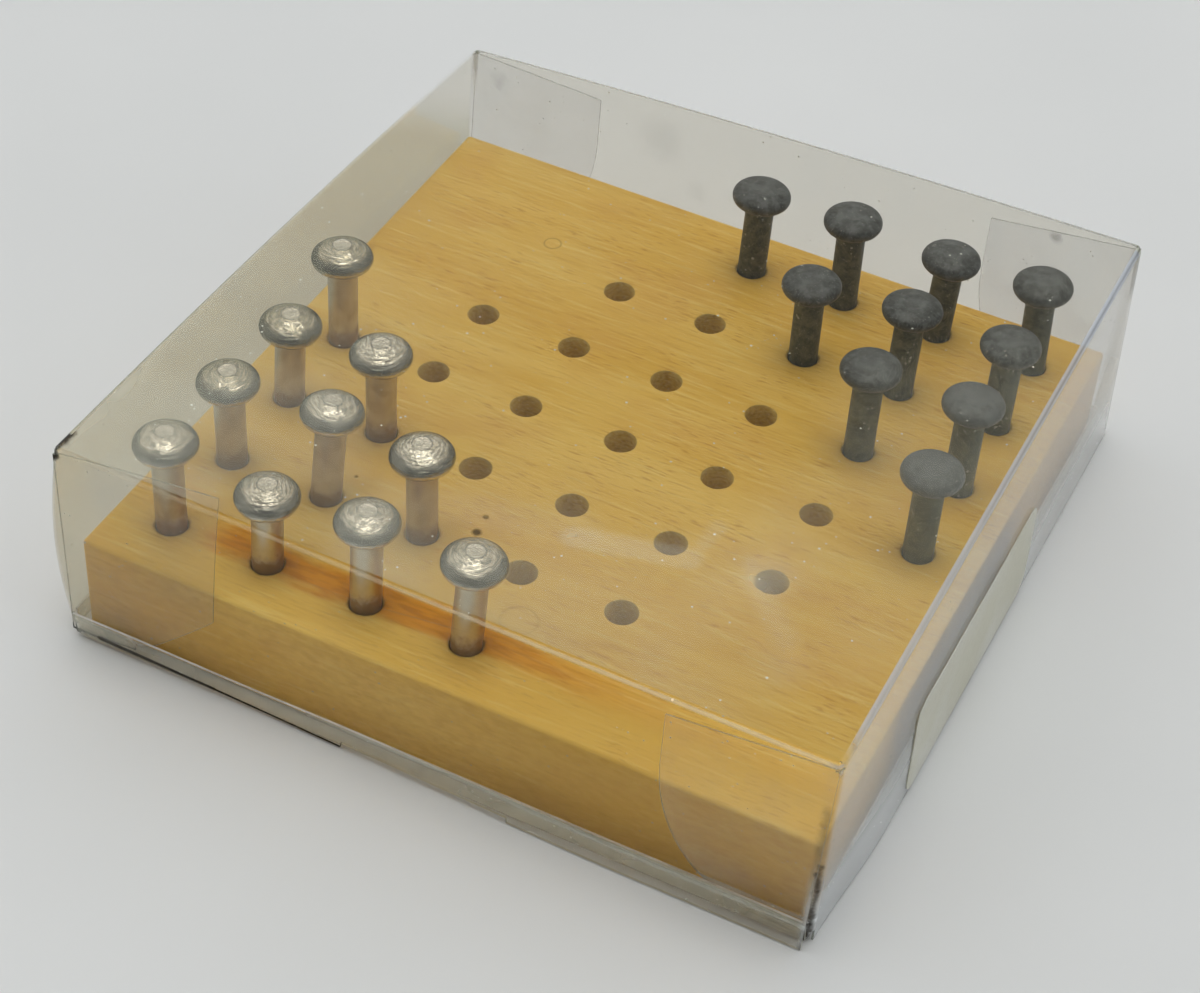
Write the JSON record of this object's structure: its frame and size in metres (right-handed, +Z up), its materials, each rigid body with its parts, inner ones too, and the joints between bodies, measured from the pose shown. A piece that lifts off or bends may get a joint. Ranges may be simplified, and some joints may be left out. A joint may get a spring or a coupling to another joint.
{
  "type": "halma board game",
  "caption": "Square wooden halma board with blind peg holes and bright and black rivet-shaped pegs, kept in a clear folded film box with a lift-off lid.",
  "frame": {"origin": "middle of the tray's underside, on the table", "axes": "+Z up; X along the rows of holes, the bright camp towards -X and -Y; the front of the box faces -Y and the label faces +X"},
  "size_m": [0.1027, 0.1046, 0.0316],
  "materials": {
    "film": "clear thin film with a faint grey-yellow haze",
    "wood": "varnished pale wood, honey yellow",
    "paper": "matt off-white paper, bare",
    "bright_metal": "satin, as headed",
    "black_metal": "blackened, matt"
  },
  "bodies": {
    "tray": {"base_tray": "film"},
    "lid": {"lid": "film", "label": "paper"},
    "board": {"board": "wood"},
    "bright_peg_1": {"bright_peg_1": "bright_metal"},
    "bright_peg_2": {"bright_peg_2": "bright_metal"},
    "bright_peg_3": {"bright_peg_3": "bright_metal"},
    "bright_peg_4": {"bright_peg_4": "bright_metal"},
    "bright_peg_5": {"bright_peg_5": "bright_metal"},
    "bright_peg_6": {"bright_peg_6": "bright_metal"},
    "bright_peg_7": {"bright_peg_7": "bright_metal"},
    "bright_peg_8": {"bright_peg_8": "bright_metal"},
    "bright_peg_9": {"bright_peg_9": "bright_metal"},
    "bright_peg_10": {"bright_peg_10": "bright_metal"},
    "black_peg_1": {"black_peg_1": "black_metal"},
    "black_peg_2": {"black_peg_2": "black_metal"},
    "black_peg_3": {"black_peg_3": "black_metal"},
    "black_peg_4": {"black_peg_4": "black_metal"},
    "black_peg_5": {"black_peg_5": "black_metal"},
    "black_peg_6": {"black_peg_6": "black_metal"},
    "black_peg_7": {"black_peg_7": "black_metal"},
    "black_peg_8": {"black_peg_8": "black_metal"},
    "black_peg_9": {"black_peg_9": "black_metal"},
    "black_peg_10": {"black_peg_10": "black_metal"}
  },
  "joints": [
    {"name": "lid_lift", "type": "slide", "parent": "tray", "child": "lid", "axis": [0, 0, 1], "range_m": [0, 0.08]},
    {"name": "board_lift", "type": "slide", "parent": "tray", "child": "board", "axis": [0, 0, 1], "range_m": [0, 0.02]},
    {"name": "bright_peg_1_lift", "type": "slide", "parent": "board", "child": "bright_peg_1", "axis": [0, 0, 1], "range_m": [0, 0.012]},
    {"name": "bright_peg_2_lift", "type": "slide", "parent": "board", "child": "bright_peg_2", "axis": [0.0262, 0.0087, 0.9996], "range_m": [0, 0.012]},
    {"name": "bright_peg_3_lift", "type": "slide", "parent": "board", "child": "bright_peg_3", "axis": [0.0175, 0.0087, 0.9998], "range_m": [0, 0.012]},
    {"name": "bright_peg_4_lift", "type": "slide", "parent": "board", "child": "bright_peg_4", "axis": [0.0436, 0.0262, 0.9987], "range_m": [0, 0.012]},
    {"name": "bright_peg_5_lift", "type": "slide", "parent": "board", "child": "bright_peg_5", "axis": [0, 0, 1], "range_m": [0, 0.012]},
    {"name": "bright_peg_6_lift", "type": "slide", "parent": "board", "child": "bright_peg_6", "axis": [0.0435, 0.0698, 0.9966], "range_m": [0, 0.012]},
    {"name": "bright_peg_7_lift", "type": "slide", "parent": "board", "child": "bright_peg_7", "axis": [-0.0087, 0, 1], "range_m": [0, 0.012]},
    {"name": "bright_peg_8_lift", "type": "slide", "parent": "board", "child": "bright_peg_8", "axis": [0.0349, 0.0175, 0.9992], "range_m": [0, 0.012]},
    {"name": "bright_peg_9_lift", "type": "slide", "parent": "board", "child": "bright_peg_9", "axis": [0, 0, 1], "range_m": [0, 0.012]},
    {"name": "bright_peg_10_lift", "type": "slide", "parent": "board", "child": "bright_peg_10", "axis": [-0.0087, 0.0175, 0.9998], "range_m": [0, 0.012]},
    {"name": "black_peg_1_lift", "type": "slide", "parent": "board", "child": "black_peg_1", "axis": [0, 0, 1], "range_m": [0, 0.012]},
    {"name": "black_peg_2_lift", "type": "slide", "parent": "board", "child": "black_peg_2", "axis": [0, 0, 1], "range_m": [0, 0.012]},
    {"name": "black_peg_3_lift", "type": "slide", "parent": "board", "child": "black_peg_3", "axis": [0, 0, 1], "range_m": [0, 0.012]},
    {"name": "black_peg_4_lift", "type": "slide", "parent": "board", "child": "black_peg_4", "axis": [-0.0087, 0, 1], "range_m": [0, 0.012]},
    {"name": "black_peg_5_lift", "type": "slide", "parent": "board", "child": "black_peg_5", "axis": [0.0087, 0.0087, 0.9999], "range_m": [0, 0.012]},
    {"name": "black_peg_6_lift", "type": "slide", "parent": "board", "child": "black_peg_6", "axis": [0, 0, 1], "range_m": [0, 0.012]},
    {"name": "black_peg_7_lift", "type": "slide", "parent": "board", "child": "black_peg_7", "axis": [0.0175, 0.0087, 0.9998], "range_m": [0, 0.012]},
    {"name": "black_peg_8_lift", "type": "slide", "parent": "board", "child": "black_peg_8", "axis": [-0.0087, 0, 1], "range_m": [0, 0.012]},
    {"name": "black_peg_9_lift", "type": "slide", "parent": "board", "child": "black_peg_9", "axis": [0.0262, 0.0175, 0.9995], "range_m": [0, 0.012]},
    {"name": "black_peg_10_lift", "type": "slide", "parent": "board", "child": "black_peg_10", "axis": [-0.0349, -0.0175, 0.9992], "range_m": [0, 0.012]}
  ],
  "couplings": [
    {"joint": "board_lift", "follows": "lid_lift", "ratio": 0.25},
    {"joint": "bright_peg_1_lift", "follows": "lid_lift", "ratio": 0.15},
    {"joint": "bright_peg_2_lift", "follows": "lid_lift", "ratio": 0.15},
    {"joint": "bright_peg_3_lift", "follows": "lid_lift", "ratio": 0.15},
    {"joint": "bright_peg_4_lift", "follows": "lid_lift", "ratio": 0.15},
    {"joint": "bright_peg_5_lift", "follows": "lid_lift", "ratio": 0.15},
    {"joint": "bright_peg_6_lift", "follows": "lid_lift", "ratio": 0.15},
    {"joint": "bright_peg_7_lift", "follows": "lid_lift", "ratio": 0.15},
    {"joint": "bright_peg_8_lift", "follows": "lid_lift", "ratio": 0.15},
    {"joint": "bright_peg_9_lift", "follows": "lid_lift", "ratio": 0.15},
    {"joint": "bright_peg_10_lift", "follows": "lid_lift", "ratio": 0.15},
    {"joint": "black_peg_1_lift", "follows": "lid_lift", "ratio": 0.15},
    {"joint": "black_peg_2_lift", "follows": "lid_lift", "ratio": 0.15},
    {"joint": "black_peg_3_lift", "follows": "lid_lift", "ratio": 0.15},
    {"joint": "black_peg_4_lift", "follows": "lid_lift", "ratio": 0.15},
    {"joint": "black_peg_5_lift", "follows": "lid_lift", "ratio": 0.15},
    {"joint": "black_peg_6_lift", "follows": "lid_lift", "ratio": 0.15},
    {"joint": "black_peg_7_lift", "follows": "lid_lift", "ratio": 0.15},
    {"joint": "black_peg_8_lift", "follows": "lid_lift", "ratio": 0.15},
    {"joint": "black_peg_9_lift", "follows": "lid_lift", "ratio": 0.15},
    {"joint": "black_peg_10_lift", "follows": "lid_lift", "ratio": 0.15}
  ]
}
